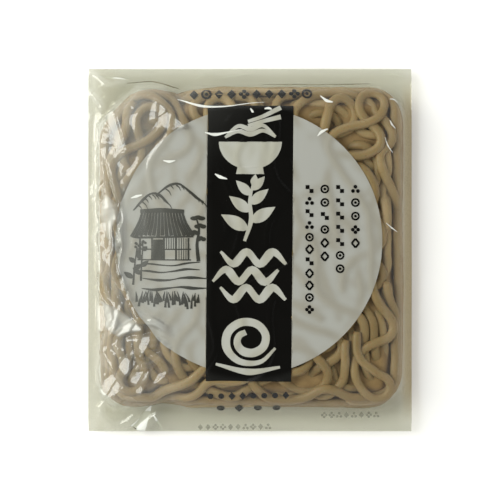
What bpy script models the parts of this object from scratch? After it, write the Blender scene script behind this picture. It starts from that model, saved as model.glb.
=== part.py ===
"""Pack of boiled soba noodles in a clear film bag, lying on its back with the printed side up.

The bag is one closed solid: a pillow filled by the noodle block, with flat film margins all round.
The noodles that show through the film stand out of it at their true width.
The print is three thin solids on the front: a black band between the two halves of a pale disc.
The origin is at the middle of the underside, +Y points to the top of the print and +Z is up.
"""

import math

import bmesh
import bpy
import numpy as np

MM = 0.001

BAG_WIDTH = 130 * MM
BAG_HEIGHT = 146 * MM
FILM_MARGIN = 0.7 * MM          # two layers of film, drawn thick enough to be a solid
SEAL_LEVEL = 6.0 * MM           # height at which front and back film meet round the noodles
SEAL_DROOP = 2.2 * MM           # how far the top and bottom margins sink towards their edge
SIDE_DROOP = 0.8 * MM
SEAL_WAVE = 0.5 * MM
SEAL_WAVES_ROUND = 9            # waves of the loose film edge round the bag

PACK_THICKNESS = 17.0 * MM      # underside to the highest noodle
CROWN = 1.0 * MM                # how much of that is the slight rise to the middle
SHOULDER = 11.0 * MM            # width over which the front film rises from the margin
HEEL = 7.0 * MM                 # the same for the underside, which lies flat inside it

MARGIN_LEFT = 4.6 * MM
MARGIN_RIGHT = 3.4 * MM
MARGIN_TOP = 7.4 * MM
MARGIN_BOTTOM = 9.6 * MM
BLOCK_CORNER = 11.0 * MM        # rounding of the noodle block seen from the front
CHAMFER_REACH = 15.0 * MM       # how far the block's top left corner is cut back along each side

TOP_PINCH = (-28.5 * MM, 3.2 * MM, 3.5 * MM)      # where a fold pulls the block in: middle x, depth, width
BOTTOM_PINCH = (-34.0 * MM, 2.2 * MM, 4.0 * MM)

BAG_RAYS = 76                   # points round each ring of the bag, a multiple of 4
HEEL_RINGS = (1.0, 0.7, 0.45, 0.22, 0.06, 0.0)          # where the rings lie, in shares of the heel
SHOULDER_RINGS = (0.03, 0.1, 0.22, 0.4, 0.65, 1.0)      # and of the shoulder
CROWN_RING = 30.0 * MM          # depth of the one ring inside the shoulder

NOODLE_WIDTH = 3.9 * MM
NOODLE_THICKNESS = 3.4 * MM
# A cut noodle's rounded top and upright sides, in shares of half its width and thickness
NOODLE_SECTION = ((1, 0), (0.72, 0.72), (0, 1), (-0.72, 0.72), (-1, 0), (-0.95, -1.1), (0.95, -1.1))
NOODLE_LENGTH = 92 * MM
NOODLE_SEGMENT = 4.6 * MM
NOODLE_COUNT = 28
NOODLE_SINK = 1.4 * MM          # a noodle lies this much lower where no other is under it
NOODLE_CLEAR = 0.15 * MM        # the highest noodle stays this far under the film
NOODLE_TURN = 7.5 * MM          # tightest bend of a noodle
NOODLE_EDGE = 0.9 * MM          # noodle middles stay this far inside the block's outline
NOODLE_APART = 1.15             # two stretches of one noodle keep this many widths apart
BEND_START = 0.5                # most that a noodle bends at its start, in radians a segment
BEND_KEPT = 0.8                 # share of its bend that it keeps from segment to segment
BEND_CHANGE = 0.22              # and how much that changes at random
LOOK_AHEAD = 2.2                # segments that it looks ahead for the block's outline
CORE_BELOW = 2.2 * MM           # the core's front lies this far under the film
CORE_INSET = 1.2 * MM
WALL_PULL = 4000.0              # how strongly a noodle turns away from the block's outline, per metre
TRIES_PER_NOODLE = 80
START_TRIES = 200
COVER_CELL = 1.8 * MM           # spacing of the map of what is covered
PILED_COST = 0.5                # how much a piled-up cell counts against a bare one
SEED = 5

PRINT_THICKNESS = 0.35 * MM
PRINT_GAP = 0.3 * MM
PRINT_COLUMNS = 6               # faces across a print field, and along the band and the disc
BAND_ROWS = 18
DISC_ROWS = 22
BEHIND_PRINT = 3.0 * MM         # how deep the flat film behind the print reaches, into the core
BAND_WIDTH = 34.0 * MM
BAND_HEIGHT = 108.4 * MM
BAND_MIDDLE = (-0.3 * MM, 2.7 * MM)
DISC_RADIUS = 52.6 * MM
DISC_MIDDLE = (-0.5 * MM, 3.6 * MM)

BLOCK_LEFT = -BAG_WIDTH / 2 + MARGIN_LEFT
BLOCK_RIGHT = BAG_WIDTH / 2 - MARGIN_RIGHT
BLOCK_BOTTOM = -BAG_HEIGHT / 2 + MARGIN_BOTTOM
BLOCK_TOP = BAG_HEIGHT / 2 - MARGIN_TOP
BLOCK_X = (BLOCK_LEFT + BLOCK_RIGHT) / 2
BLOCK_Y = (BLOCK_BOTTOM + BLOCK_TOP) / 2

SMOOTH_ANGLE = math.radians(40) # edges sharper than this stay sharp
HALVINGS = 40                   # steps of a search by halving

# Linear red, green and blue, and roughness
FINISHES = {
    "boiled_buckwheat_noodle_in_film": ((0.33, 0.25, 0.14), 0.45),
    "black_ink_on_film": ((0.01, 0.01, 0.01), 0.3),
    "pale_ink_on_film": ((0.42, 0.42, 0.36), 0.35),
}


def clear_scene():
    for obj in list(bpy.data.objects):
        bpy.data.objects.remove(obj)


def material(name):
    """A plain finish of the table above."""
    colour, roughness = FINISHES[name]
    made = bpy.data.materials.new(name)
    made.use_nodes = True
    shader = made.node_tree.nodes["Principled BSDF"]
    shader.inputs["Base Color"].default_value = (*colour, 1.0)
    shader.inputs["Roughness"].default_value = roughness
    shader.inputs["Metallic"].default_value = 0.0
    made.diffuse_color = (*colour, 1.0)
    return made


def pinch(x, place):
    """A rounded notch in an edge of the block, all but gone two widths from its middle."""
    middle, depth, width = place
    return depth * np.exp(-(((x - middle) / width) ** 2))


def block_depth(x, y):
    """How far a point lies inside the noodle block's outline, seen from the front. Negative outside."""
    y = np.where(y > 0, y + pinch(x, TOP_PINCH), y - pinch(x, BOTTOM_PINCH))
    half_x = (BLOCK_RIGHT - BLOCK_LEFT) / 2 - BLOCK_CORNER
    half_y = (BLOCK_TOP - BLOCK_BOTTOM) / 2 - BLOCK_CORNER
    over_x = np.abs(x - BLOCK_X) - half_x
    over_y = np.abs(y - BLOCK_Y) - half_y
    outside = np.hypot(np.maximum(over_x, 0), np.maximum(over_y, 0))
    inside = np.minimum(np.maximum(over_x, over_y), 0)
    rounded = BLOCK_CORNER - outside - inside
    chamfer = ((x - BLOCK_LEFT) + (BLOCK_TOP - y) - CHAMFER_REACH) / math.sqrt(2)
    return np.minimum(rounded, chamfer)


def rise(depth, width):
    """0 at the block's outline and 1 past width inside it, along a quarter circle."""
    share = 1 - np.clip(depth / width, 0, 1)
    return np.sqrt(1 - share * share)


def front_height(x, y, lower=0.0, inset=0.0):
    """Height of the front film over the table, or of a surface under it by lower and inset."""
    depth = block_depth(x, y) - inset
    reach = np.hypot((x - BLOCK_X) / (BAG_WIDTH / 2), (y - BLOCK_Y) / (BAG_HEIGHT / 2))
    top = PACK_THICKNESS - CROWN * np.clip(reach, 0, 1) ** 2 - lower
    return SEAL_LEVEL + (top - SEAL_LEVEL) * rise(depth, SHOULDER)


def back_height(depth):
    """Height of the underside, which is flat on the table inside the heel."""
    return SEAL_LEVEL * (1 - rise(depth, HEEL))


def bag_edge():
    """Points round the bag's outer rectangle, as many on each side, as (x, y)."""
    half_x, half_y = BAG_WIDTH / 2, BAG_HEIGHT / 2
    corners = [(half_x, -half_y), (half_x, half_y), (-half_x, half_y), (-half_x, -half_y)]
    points = []
    steps = BAG_RAYS // len(corners)
    for (ax, ay), (bx, by) in zip(corners, corners[1:] + corners[:1]):
        for i in range(steps):
            share = i / steps
            points.append((ax + (bx - ax) * share, ay + (by - ay) * share))
    return points


def point_at_depth(edge, depth):
    """The point at that depth on the line from the block's middle to a point of the bag's edge."""
    near, far = 0.0, 1.0
    for _ in range(HALVINGS):
        middle = (near + far) / 2
        x = BLOCK_X + (edge[0] - BLOCK_X) * middle
        y = BLOCK_Y + (edge[1] - BLOCK_Y) * middle
        if block_depth(x, y) > depth:
            near = middle
        else:
            far = middle
    return BLOCK_X + (edge[0] - BLOCK_X) * near, BLOCK_Y + (edge[1] - BLOCK_Y) * near


def margin_level(x, y, turn):
    """Height of the film margin's middle at the bag's edge."""
    near_end = abs(y) > BAG_HEIGHT / 2 - MM
    droop = SEAL_DROOP if near_end else SIDE_DROOP
    return SEAL_LEVEL - droop + SEAL_WAVE * math.sin(SEAL_WAVES_ROUND * turn)


def bag_core(finish):
    """The pillow without its noodles, with the flat margins, as rings from the underside round to the front."""
    edge = bag_edge()
    turns = [math.atan2(y, x) for x, y in edge]
    rings = []
    for share in HEEL_RINGS:
        depth = HEEL * share
        height = back_height(depth) - FILM_MARGIN / 2 * (1 - share)
        rings.append([(*point_at_depth(p, depth), height) for p in edge])
    for side in (-1, 1):
        offset = side * FILM_MARGIN / 2
        rings.append([(x, y, margin_level(x, y, turn) + offset) for (x, y), turn in zip(edge, turns)])
    rings.append([(*point_at_depth(p, 0.0), SEAL_LEVEL + FILM_MARGIN / 2) for p in edge])
    for depth in [SHOULDER * share for share in SHOULDER_RINGS] + [CROWN_RING]:
        ring = [point_at_depth(p, depth + CORE_INSET) for p in edge]
        rings.append([(x, y, float(front_height(x, y, CORE_BELOW, CORE_INSET))) for x, y in ring])
    mesh = bmesh.new()
    loops = [[mesh.verts.new(p) for p in ring] for ring in rings]
    for lower, upper in zip(loops, loops[1:]):
        for i in range(BAG_RAYS):
            j = (i + 1) % BAG_RAYS
            mesh.faces.new((lower[i], lower[j], upper[j], upper[i]))
    mesh.faces.new(list(reversed(loops[0])))
    middle = mesh.verts.new((BLOCK_X, BLOCK_Y, PACK_THICKNESS - CORE_BELOW))
    for i in range(BAG_RAYS):
        mesh.faces.new((loops[-1][i], loops[-1][(i + 1) % BAG_RAYS], middle))
    return mesh_object("bag", mesh, finish)


def mesh_object(name, mesh, finish):
    """Turns a bmesh into an object of the scene, its faces pointing out."""
    bmesh.ops.recalc_face_normals(mesh, faces=mesh.faces[:])
    data = bpy.data.meshes.new(name)
    mesh.to_mesh(data)
    mesh.free()
    data.materials.append(finish)
    shade(data)
    obj = bpy.data.objects.new(name, data)
    bpy.context.scene.collection.objects.link(obj)
    return obj


def shade(data):
    """Smooth over the curved faces, with the edges between pieces left sharp."""
    data.shade_smooth()
    data.set_sharp_from_angle(angle=SMOOTH_ANGLE)


def noodle_path(draw):
    """A wandering line in the plane that bends no tighter than a noodle and turns back at the block's outline."""
    steps = int(NOODLE_LENGTH / NOODLE_SEGMENT)
    for _ in range(START_TRIES):
        x = draw.uniform(BLOCK_LEFT, BLOCK_RIGHT)
        y = draw.uniform(BLOCK_BOTTOM, BLOCK_TOP)
        if block_depth(x, y) > NOODLE_EDGE:
            break
    heading = draw.uniform(0, 2 * math.pi)
    bend = draw.uniform(-BEND_START, BEND_START)
    most = NOODLE_SEGMENT / NOODLE_TURN
    points = [(x, y)]
    for _ in range(steps):
        bend = np.clip(BEND_KEPT * bend + draw.normal(0, BEND_CHANGE), -most, most)
        options = []
        for extra in (0.0, 0.25, -0.25, 0.6, -0.6, 1.0, -1.0):
            turn = np.clip(bend + extra * most, -most, most)
            way = np.array((math.cos(heading + turn), math.sin(heading + turn))) * NOODLE_SEGMENT
            here = block_depth(x + way[0], y + way[1])
            ahead = block_depth(x + LOOK_AHEAD * way[0], y + LOOK_AHEAD * way[1])
            short = max(0.0, NOODLE_EDGE - min(here, ahead))
            options.append((short * WALL_PULL + abs(extra), turn))
        bend = min(options)[1]
        heading += bend
        x += NOODLE_SEGMENT * math.cos(heading)
        y += NOODLE_SEGMENT * math.sin(heading)
        points.append((x, y))
    return np.array(points)


def lies_well(path):
    """True if the line stays in the block and no two stretches of it come closer than a noodle is wide."""
    if block_depth(*path.T).min() < 0.7 * NOODLE_EDGE:
        return False
    apart = np.hypot(*(path[:, None] - path[None]).transpose(2, 0, 1))
    i, j = np.triu_indices(len(path), 3)
    return bool((apart[i, j] > NOODLE_APART * NOODLE_WIDTH).all())


def under_print(x, y):
    """True for points that the disc or the band covers."""
    in_disc = np.hypot(x - DISC_MIDDLE[0], y - DISC_MIDDLE[1]) < DISC_RADIUS
    in_band = (np.abs(x - BAND_MIDDLE[0]) < BAND_WIDTH / 2) & (np.abs(y - BAND_MIDDLE[1]) < BAND_HEIGHT / 2)
    return in_disc | in_band


class Cover:
    """A map of where noodles lie already, seen from the front."""

    def __init__(self):
        self.x, self.y = np.meshgrid(
            np.arange(BLOCK_LEFT, BLOCK_RIGHT, COVER_CELL), np.arange(BLOCK_BOTTOM, BLOCK_TOP, COVER_CELL)
        )
        self.layers = np.zeros(self.x.shape)
        self.wanted = (block_depth(self.x, self.y) > NOODLE_EDGE / 2) & ~under_print(self.x, self.y)

    def under(self, path):
        """The cells that a noodle along this path covers."""
        apart = np.full(self.x.shape, np.inf)
        for a, b in zip(path[:-1], path[1:]):
            for share in (0.0, 1 / 3, 2 / 3):
                px, py = a + (b - a) * share
                apart = np.minimum(apart, np.hypot(self.x - px, self.y - py))
        return apart < NOODLE_WIDTH / 2

    def gain(self, path):
        """How much bare ground the noodle would cover, less what it would pile up."""
        cells = self.under(path)
        bare = cells & self.wanted & (self.layers == 0)
        piled = cells & self.wanted & (self.layers > 0)
        return bare.sum() - PILED_COST * (self.layers[piled] ** 2).sum()

    def crossed(self, x, y):
        """1 where another noodle lies under this point, else 0."""
        near = np.hypot(self.x - x, self.y - y) < NOODLE_WIDTH
        return float(near.any() and self.layers[near].max() > 0)


def noodle_points(path, cover):
    """The noodle's middle line in space, just under the film, and lifted where it crosses another."""
    lift = np.array([cover.crossed(x, y) for x, y in path])
    eased = np.convolve(np.pad(lift, 1, mode="edge"), (0.25, 0.5, 0.25), mode="valid")
    step = 0.5 * MM
    points = []
    for (x, y), high in zip(path, eased):
        surface = float(front_height(x, y))
        slope_x = (float(front_height(x + step, y)) - float(front_height(x - step, y))) / (2 * step)
        slope_y = (float(front_height(x, y + step)) - float(front_height(x, y - step))) / (2 * step)
        normal = np.array((-slope_x, -slope_y, 1.0))
        normal /= np.linalg.norm(normal)
        sink = NOODLE_THICKNESS / 2 + NOODLE_CLEAR + NOODLE_SINK * (1 - high)
        points.append(np.array((x, y, surface)) - normal * sink)
    return points


def noodle(name, points):
    """A closed tube of a noodle's rounded section along the points."""
    mesh = bmesh.new()
    rings = []
    for i, point in enumerate(points):
        along = points[min(i + 1, len(points) - 1)] - points[max(i - 1, 0)]
        along /= np.linalg.norm(along)
        side = np.cross(along, (0, 0, 1.0))
        side /= np.linalg.norm(side)
        up = np.cross(side, along)
        ring = []
        for across, above in NOODLE_SECTION:
            place = point + side * across * NOODLE_WIDTH / 2 + up * above * NOODLE_THICKNESS / 2
            ring.append(mesh.verts.new(place))
        rings.append(ring)
    sides = len(NOODLE_SECTION)
    for a, b in zip(rings, rings[1:]):
        for k in range(sides):
            m = (k + 1) % sides
            mesh.faces.new((a[k], a[m], b[m], b[k]))
    mesh.faces.new(rings[0])
    mesh.faces.new(list(reversed(rings[-1])))
    bmesh.ops.recalc_face_normals(mesh, faces=mesh.faces[:])
    data = bpy.data.meshes.new(name)
    mesh.to_mesh(data)
    mesh.free()
    return bpy.data.objects.new(name, data)


def lay_noodles():
    """The noodles that show under the front film, the one that covers most bare ground first."""
    draw = np.random.default_rng(SEED)
    cover = Cover()
    group = bpy.data.collections.new("noodles")
    bpy.context.scene.collection.children.link(group)
    for number in range(NOODLE_COUNT):
        paths = [noodle_path(draw) for _ in range(TRIES_PER_NOODLE)]
        best = max(filter(lies_well, paths), key=cover.gain)
        group.objects.link(noodle(f"noodle_{number}", noodle_points(best, cover)))
        cover.layers[cover.under(best)] += 1
    return group


def fuse(bag, group):
    """Joins the noodles to the bag in one solid, and drops sealed hollows and loose scraps."""
    union = bag.modifiers.new("noodles", "BOOLEAN")
    union.operation = "UNION"
    union.operand_type = "COLLECTION"
    union.collection = group
    union.solver = "MANIFOLD"
    graph = bpy.context.evaluated_depsgraph_get()
    fused = bpy.data.meshes.new_from_object(bag.evaluated_get(graph))
    bag.modifiers.clear()
    bag.data = fused
    for obj in list(group.objects):
        bpy.data.objects.remove(obj)
    bpy.data.collections.remove(group)
    keep_outer_shell(fused)
    shade(fused)


def keep_outer_shell(data):
    """Keeps the largest set of faces that edges join, and so fills sealed hollows and drops loose scraps."""
    mesh = bmesh.new()
    mesh.from_mesh(data)
    left = set(mesh.faces)
    shells = []
    while left:
        shell, front = [], [left.pop()]
        while front:
            face = front.pop()
            shell.append(face)
            near = {other for edge in face.edges for other in edge.link_faces} & left
            left -= near
            front.extend(near)
        shells.append(shell)
    shells.sort(key=len)
    loose = [face for shell in shells[:-1] for face in shell]
    bmesh.ops.delete(mesh, geom=loose, context="FACES")
    mesh.to_mesh(data)
    mesh.free()


def film_plate(name, rows, low, high, finish):
    """A plate that follows the front of the bag, from low to high over it. Each row is (y, left x, right x)."""
    mesh = bmesh.new()
    layers = []
    for extra in (low, high):
        grid = []
        for y, left, right in rows:
            xs = [left + (right - left) * i / PRINT_COLUMNS for i in range(PRINT_COLUMNS + 1)]
            grid.append([mesh.verts.new((x, y, float(front_height(x, y)) + extra)) for x in xs])
        layers.append(grid)
    for grid in layers:
        for lower, upper in zip(grid, grid[1:]):
            for i in range(PRINT_COLUMNS):
                mesh.faces.new((lower[i], lower[i + 1], upper[i + 1], upper[i]))
    rims = []
    for grid in layers:
        right_side = [row[-1] for row in grid[1:-1]]
        left_side = [row[0] for row in reversed(grid[1:-1])]
        rims.append(grid[0] + right_side + list(reversed(grid[-1])) + left_side)
    for i in range(len(rims[0])):
        j = (i + 1) % len(rims[0])
        mesh.faces.new((rims[0][i], rims[0][j], rims[1][j], rims[1][i]))
    return mesh_object(name, mesh, finish)


def band_rows():
    x, y = BAND_MIDDLE
    left, right = x - BAND_WIDTH / 2, x + BAND_WIDTH / 2
    return [(y + BAND_HEIGHT * (i / BAND_ROWS - 0.5), left, right) for i in range(BAND_ROWS + 1)]


def disc_rows(side):
    """Rows of the disc on one side of the band: -1 is the left part, 1 the right part and 0 the whole disc."""
    middle_x, middle_y = DISC_MIDDLE
    inner = BAND_MIDDLE[0] + side * (BAND_WIDTH / 2 + PRINT_GAP)
    reach = abs(inner - middle_x) if side else MM
    last = math.acos((reach + MM) / DISC_RADIUS)
    rows = []
    for i in range(DISC_ROWS + 1):
        angle = last * (2 * i / DISC_ROWS - 1)
        half = DISC_RADIUS * math.cos(angle)
        ends = (inner, middle_x + side * half) if side else (middle_x - half, middle_x + half)
        rows.append((middle_y + DISC_RADIUS * math.sin(angle), min(ends), max(ends)))
    return rows


def stretch_film_under_print(group, finish):
    """The film lies flat behind the print: plates of the print's outlines that reach down into the core."""
    for name, rows in (("behind_band", band_rows()), ("behind_disc", disc_rows(0))):
        plate = film_plate(name, rows, -BEHIND_PRINT, 0.0, finish)
        bpy.context.scene.collection.objects.unlink(plate)
        group.objects.link(plate)


def build():
    clear_scene()
    noodle_finish, black_ink, pale_ink = map(material, FINISHES)
    bag = bag_core(noodle_finish)
    group = lay_noodles()
    stretch_film_under_print(group, noodle_finish)
    fuse(bag, group)
    ink = (PRINT_GAP, PRINT_GAP + PRINT_THICKNESS)
    film_plate("print_band", band_rows(), *ink, black_ink)
    film_plate("print_disc_left", disc_rows(-1), *ink, pale_ink)
    film_plate("print_disc_right", disc_rows(1), *ink, pale_ink)


build()
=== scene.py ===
import math

import bpy
import numpy as np
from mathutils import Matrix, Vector
from mathutils.geometry import delaunay_2d_cdt


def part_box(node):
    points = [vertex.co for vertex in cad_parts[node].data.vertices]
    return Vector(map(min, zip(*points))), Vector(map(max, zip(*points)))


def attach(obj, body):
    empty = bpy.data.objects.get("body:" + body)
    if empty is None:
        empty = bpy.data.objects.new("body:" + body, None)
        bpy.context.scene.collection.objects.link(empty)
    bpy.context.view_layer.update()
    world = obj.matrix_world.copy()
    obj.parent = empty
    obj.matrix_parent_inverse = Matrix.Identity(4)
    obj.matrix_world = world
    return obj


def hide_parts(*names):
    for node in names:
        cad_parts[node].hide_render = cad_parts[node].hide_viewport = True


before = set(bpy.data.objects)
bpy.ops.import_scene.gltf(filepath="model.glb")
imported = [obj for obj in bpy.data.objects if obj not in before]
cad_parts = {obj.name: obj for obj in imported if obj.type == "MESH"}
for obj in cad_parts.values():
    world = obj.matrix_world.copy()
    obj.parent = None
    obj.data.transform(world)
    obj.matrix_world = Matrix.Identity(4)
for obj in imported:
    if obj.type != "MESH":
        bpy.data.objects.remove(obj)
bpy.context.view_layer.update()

# Lengths below are in millimetres and become metres when a mesh is made
mm = 0.001
bagLow, bagHigh = (np.array(corner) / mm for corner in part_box("bag"))
bandLow, bandHigh = (np.array(corner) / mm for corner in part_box("print_band"))
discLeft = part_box("print_disc_left")[0].x / mm
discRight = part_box("print_disc_right")[1].x / mm
discLow, discHigh = (corner.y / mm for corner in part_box("print_disc_left"))

# The pack's form, as the solids have it
bag = {
    "left": bagLow[0], "right": bagHigh[0], "bottom": bagLow[1], "top": bagHigh[1],
    "sealLevel": 6.0,       # where front and back film meet round the noodles
    "endDroop": 2.2,        # how far the top and bottom margins sink
    "sideDroop": 0.8,
    "thickness": 17.0,
    "crown": 1.0,
    "shoulder": 11.0,       # width over which the front rises from the margin
    "heel": 7.0,            # the same on the underside
}
block = {
    "left": bag["left"] + 4.6, "right": bag["right"] - 3.4,
    "bottom": bag["bottom"] + 9.6, "top": bag["top"] - 7.4,
    "corner": 11.0,
    "cutCorner": 15.0,                  # the top left corner is cut off
    "topPinch": (-28.5, 3.2, 7.0),      # middle, depth and width of a notch
    "bottomPinch": (-34.0, 2.2, 8.0),
}
blockX = (block["left"] + block["right"]) / 2
blockY = (block["bottom"] + block["top"]) / 2

band = {
    "x": (bandLow[0] + bandHigh[0]) / 2, "y": (bandLow[1] + bandHigh[1]) / 2,
    "width": bandHigh[0] - bandLow[0], "height": bandHigh[1] - bandLow[1],
    "tilt": -0.5,
}
disc = {"x": (discLeft + discRight) / 2, "y": (discLow + discHigh) / 2, "radius": (discRight - discLeft) / 2}

# The photo's pixels, for what is placed from it
photo = {"middle": 249.75, "mmPerPixel": 0.4015}


def spot(px, py):
    return (px - photo["middle"]) * photo["mmPerPixel"], (photo["middle"] - py) * photo["mmPerPixel"]


def spots(*pixels):
    return np.array([spot(*pixel) for pixel in pixels])


def smoothStep(value, start, end):
    share = np.clip((value - start) / (end - start), 0, 1)
    return share * share * (3 - 2 * share)


def pinch(x, place):
    middle, depth, width = place
    return depth * np.exp(-(((x - middle) / width) ** 2) * 4)


def blockDepth(x, y):
    # How far inside the noodle block's outline a point lies, seen from the front
    y = np.where(y > 0, y + pinch(x, block["topPinch"]), y - pinch(x, block["bottomPinch"]))
    overX = np.abs(x - blockX) - (block["right"] - block["left"]) / 2 + block["corner"]
    overY = np.abs(y - blockY) - (block["top"] - block["bottom"]) / 2 + block["corner"]
    outside = np.hypot(np.maximum(overX, 0), np.maximum(overY, 0))
    rounded = block["corner"] - outside - np.minimum(np.maximum(overX, overY), 0)
    cut = ((x - block["left"]) + (block["top"] - y) - block["cutCorner"]) / math.sqrt(2)
    return np.minimum(rounded, cut)


def rise(depth, width):
    share = 1 - np.clip(depth / width, 0, 1)
    return np.sqrt(1 - share * share)


def frontHeight(x, y):
    reach = np.hypot((x - blockX) / (bag["right"] - bag["left"]), (y - blockY) / (bag["top"] - bag["bottom"])) * 2
    top = bag["thickness"] - bag["crown"] * np.clip(reach, 0, 1) ** 2
    return bag["sealLevel"] + (top - bag["sealLevel"]) * rise(blockDepth(x, y), bag["shoulder"])


def backHeight(x, y):
    return bag["sealLevel"] * (1 - rise(blockDepth(x, y), bag["heel"]))


# Height maps on one grid over the whole bag
cell = 0.5
columns = round((bag["right"] - bag["left"]) / cell) + 1
rows = round((bag["top"] - bag["bottom"]) / cell) + 1
gridX, gridY = np.meshgrid(
    np.linspace(bag["left"], bag["right"], columns), np.linspace(bag["bottom"], bag["top"], rows)
)
gridDepth = blockDepth(gridX, gridY)


def sample(heights, x, y):
    # Reads a height map between its points
    column = np.clip((x - bag["left"]) / cell, 0, columns - 1.001)
    row = np.clip((y - bag["bottom"]) / cell, 0, rows - 1.001)
    i, j = row.astype(int), column.astype(int)
    up, right = row - i, column - j
    low = heights[i, j] * (1 - right) + heights[i, j + 1] * right
    high = heights[i + 1, j] * (1 - right) + heights[i + 1, j + 1] * right
    return low * (1 - up) + high * up


def softNoise(draw, size, stretch=1.0):
    # Smooth random relief between about -1 and 1, with bumps of this size in mm, longer along y by stretch
    countX = int((bag["right"] - bag["left"]) / size) + 4
    countY = int((bag["top"] - bag["bottom"]) / (size * stretch)) + 4
    knots = draw.uniform(-1, 1, (countY, countX))
    u = (gridX - bag["left"]) / size + 1
    v = (gridY - bag["bottom"]) / (size * stretch) + 1
    total = np.zeros(gridX.shape)
    for di in (-1, 0, 1, 2):
        for dj in (-1, 0, 1, 2):
            i, j = v.astype(int) + di, u.astype(int) + dj
            weight = splineWeight(v - i) * splineWeight(u - j)
            total += weight * knots[np.clip(i, 0, countY - 1), np.clip(j, 0, countX - 1)]
    return total * 1.6


def splineWeight(apart):
    # The cubic B-spline's bell
    apart = np.abs(apart)
    near = 2 / 3 - apart ** 2 + apart ** 3 / 2
    far = np.clip(2 - apart, 0, None) ** 3 / 6
    return np.where(apart < 1, near, far)


# Materials

def linear(hexColour):
    values = [int(hexColour[i:i + 2], 16) / 255 for i in (1, 3, 5)]
    return (*[v / 12.92 if v <= 0.04045 else ((v + 0.055) / 1.055) ** 2.4 for v in values], 1.0)


def node(tree, kind, settings=None, **links):
    # Adds a node. A setting or link is for a property or for a socket, with _ for each space in its name
    made = tree.nodes.new(kind)
    for name, value in (settings or {}).items():
        if hasattr(made, name):
            setattr(made, name, value)
        else:
            socketOf(made, name).default_value = value
    for name, source in links.items():
        tree.links.new(source, socketOf(made, name))
    return made


def socketOf(made, name):
    if name[-1].isdigit() and name[:-1] == "input":
        return made.inputs[int(name[-1])]
    return made.inputs[name.replace("_", " ")]


def newMaterial(name):
    made = bpy.data.materials.new(name)
    made.use_nodes = True
    tree = made.node_tree
    tree.nodes.clear()
    return made, tree


boiledSoba = {
    "pale": "#a79169", "dark": "#857049", "hull": "#785e3a", "core": "#a98e62",
    "roughness": 0.5, "speckSize": 1.1, "patchSize": 14.0, "grainSize": 0.9,
}


def coreMaterial():
    # The same dough, pressed and in deep shade: dull brown
    made, tree = newMaterial("boiled soba, pressed")
    place = node(tree, "ShaderNodeTexCoord").outputs["Object"]
    patches = node(tree, "ShaderNodeTexNoise", {"Scale": 1 / (4 * mm), "Detail": 3.0}, Vector=place)
    colour = node(
        tree, "ShaderNodeMix", {"data_type": "RGBA", "input6": linear(boiledSoba["hull"]), "input7": linear(boiledSoba["core"])},
        input0=patches.outputs["Fac"],
    )
    shader = node(tree, "ShaderNodeBsdfPrincipled", {"Roughness": 0.8, "IOR": 1.4}, Base_Color=colour.outputs[2])
    node(tree, "ShaderNodeOutputMaterial", Surface=shader.outputs[0])
    return made


def boiledSobaMaterial():
    # Boiled buckwheat dough, cut: moist and dull, with flecks of dark hull and paler and darker strands
    made, tree = newMaterial("boiled soba, cut")
    place = node(tree, "ShaderNodeTexCoord").outputs["Object"]
    patches = node(tree, "ShaderNodeTexNoise", {"Scale": 1 / (boiledSoba["patchSize"] * mm), "Detail": 2.0}, Vector=place)
    specks = node(tree, "ShaderNodeTexNoise", {"Scale": 1 / (boiledSoba["speckSize"] * mm), "Detail": 3.0}, Vector=place)
    strand = node(tree, "ShaderNodeAttribute", {"attribute_name": "strand"})
    blend = node(tree, "ShaderNodeMath", {"operation": "ADD"}, input0=patches.outputs["Fac"], input1=strand.outputs["Fac"])
    shade = node(tree, "ShaderNodeMapRange", {"From_Min": 0.55, "From_Max": 1.45}, Value=blend.outputs[0])
    dough = node(
        tree, "ShaderNodeMix", {"data_type": "RGBA", "input6": linear(boiledSoba["dark"]), "input7": linear(boiledSoba["pale"])},
        input0=shade.outputs[0],
    )
    fleck = node(tree, "ShaderNodeMapRange", {"From_Min": 0.6, "From_Max": 0.68, "To_Max": 0.45}, Value=specks.outputs["Fac"])
    colour = node(
        tree, "ShaderNodeMix", {"data_type": "RGBA", "input7": linear(boiledSoba["hull"])},
        input0=fleck.outputs[0], input6=dough.outputs[2],
    )
    grain = node(tree, "ShaderNodeTexNoise", {"Scale": 1 / (boiledSoba["grainSize"] * mm), "Detail": 4.0}, Vector=place)
    bump = node(tree, "ShaderNodeBump", {"Strength": 0.35, "Distance": 0.1 * mm}, Height=grain.outputs["Fac"])
    shader = node(
        tree, "ShaderNodeBsdfPrincipled",
        {"Roughness": boiledSoba["roughness"], "IOR": 1.4, "Subsurface_Weight": 0.15, "Subsurface_Scale": 1.2 * mm},
        Base_Color=colour.outputs[2], Normal=bump.outputs[0],
    )
    node(tree, "ShaderNodeOutputMaterial", Surface=shader.outputs[0])
    return made


clearFilm = {
    "tint": "#f3f3ee", "backTint": "#e2e2da",
    "paintedShadeTint": "#dcc58a",                # painted warm shade, where the margin lies in the pack's shadow and takes light thrown back by the noodles
    # colour of the milky film and of the sheen painted into it
    "hazeAndSheenColour": "#d6d8d0", "roughness": 0.09, "shine": 0.049,
}


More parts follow.
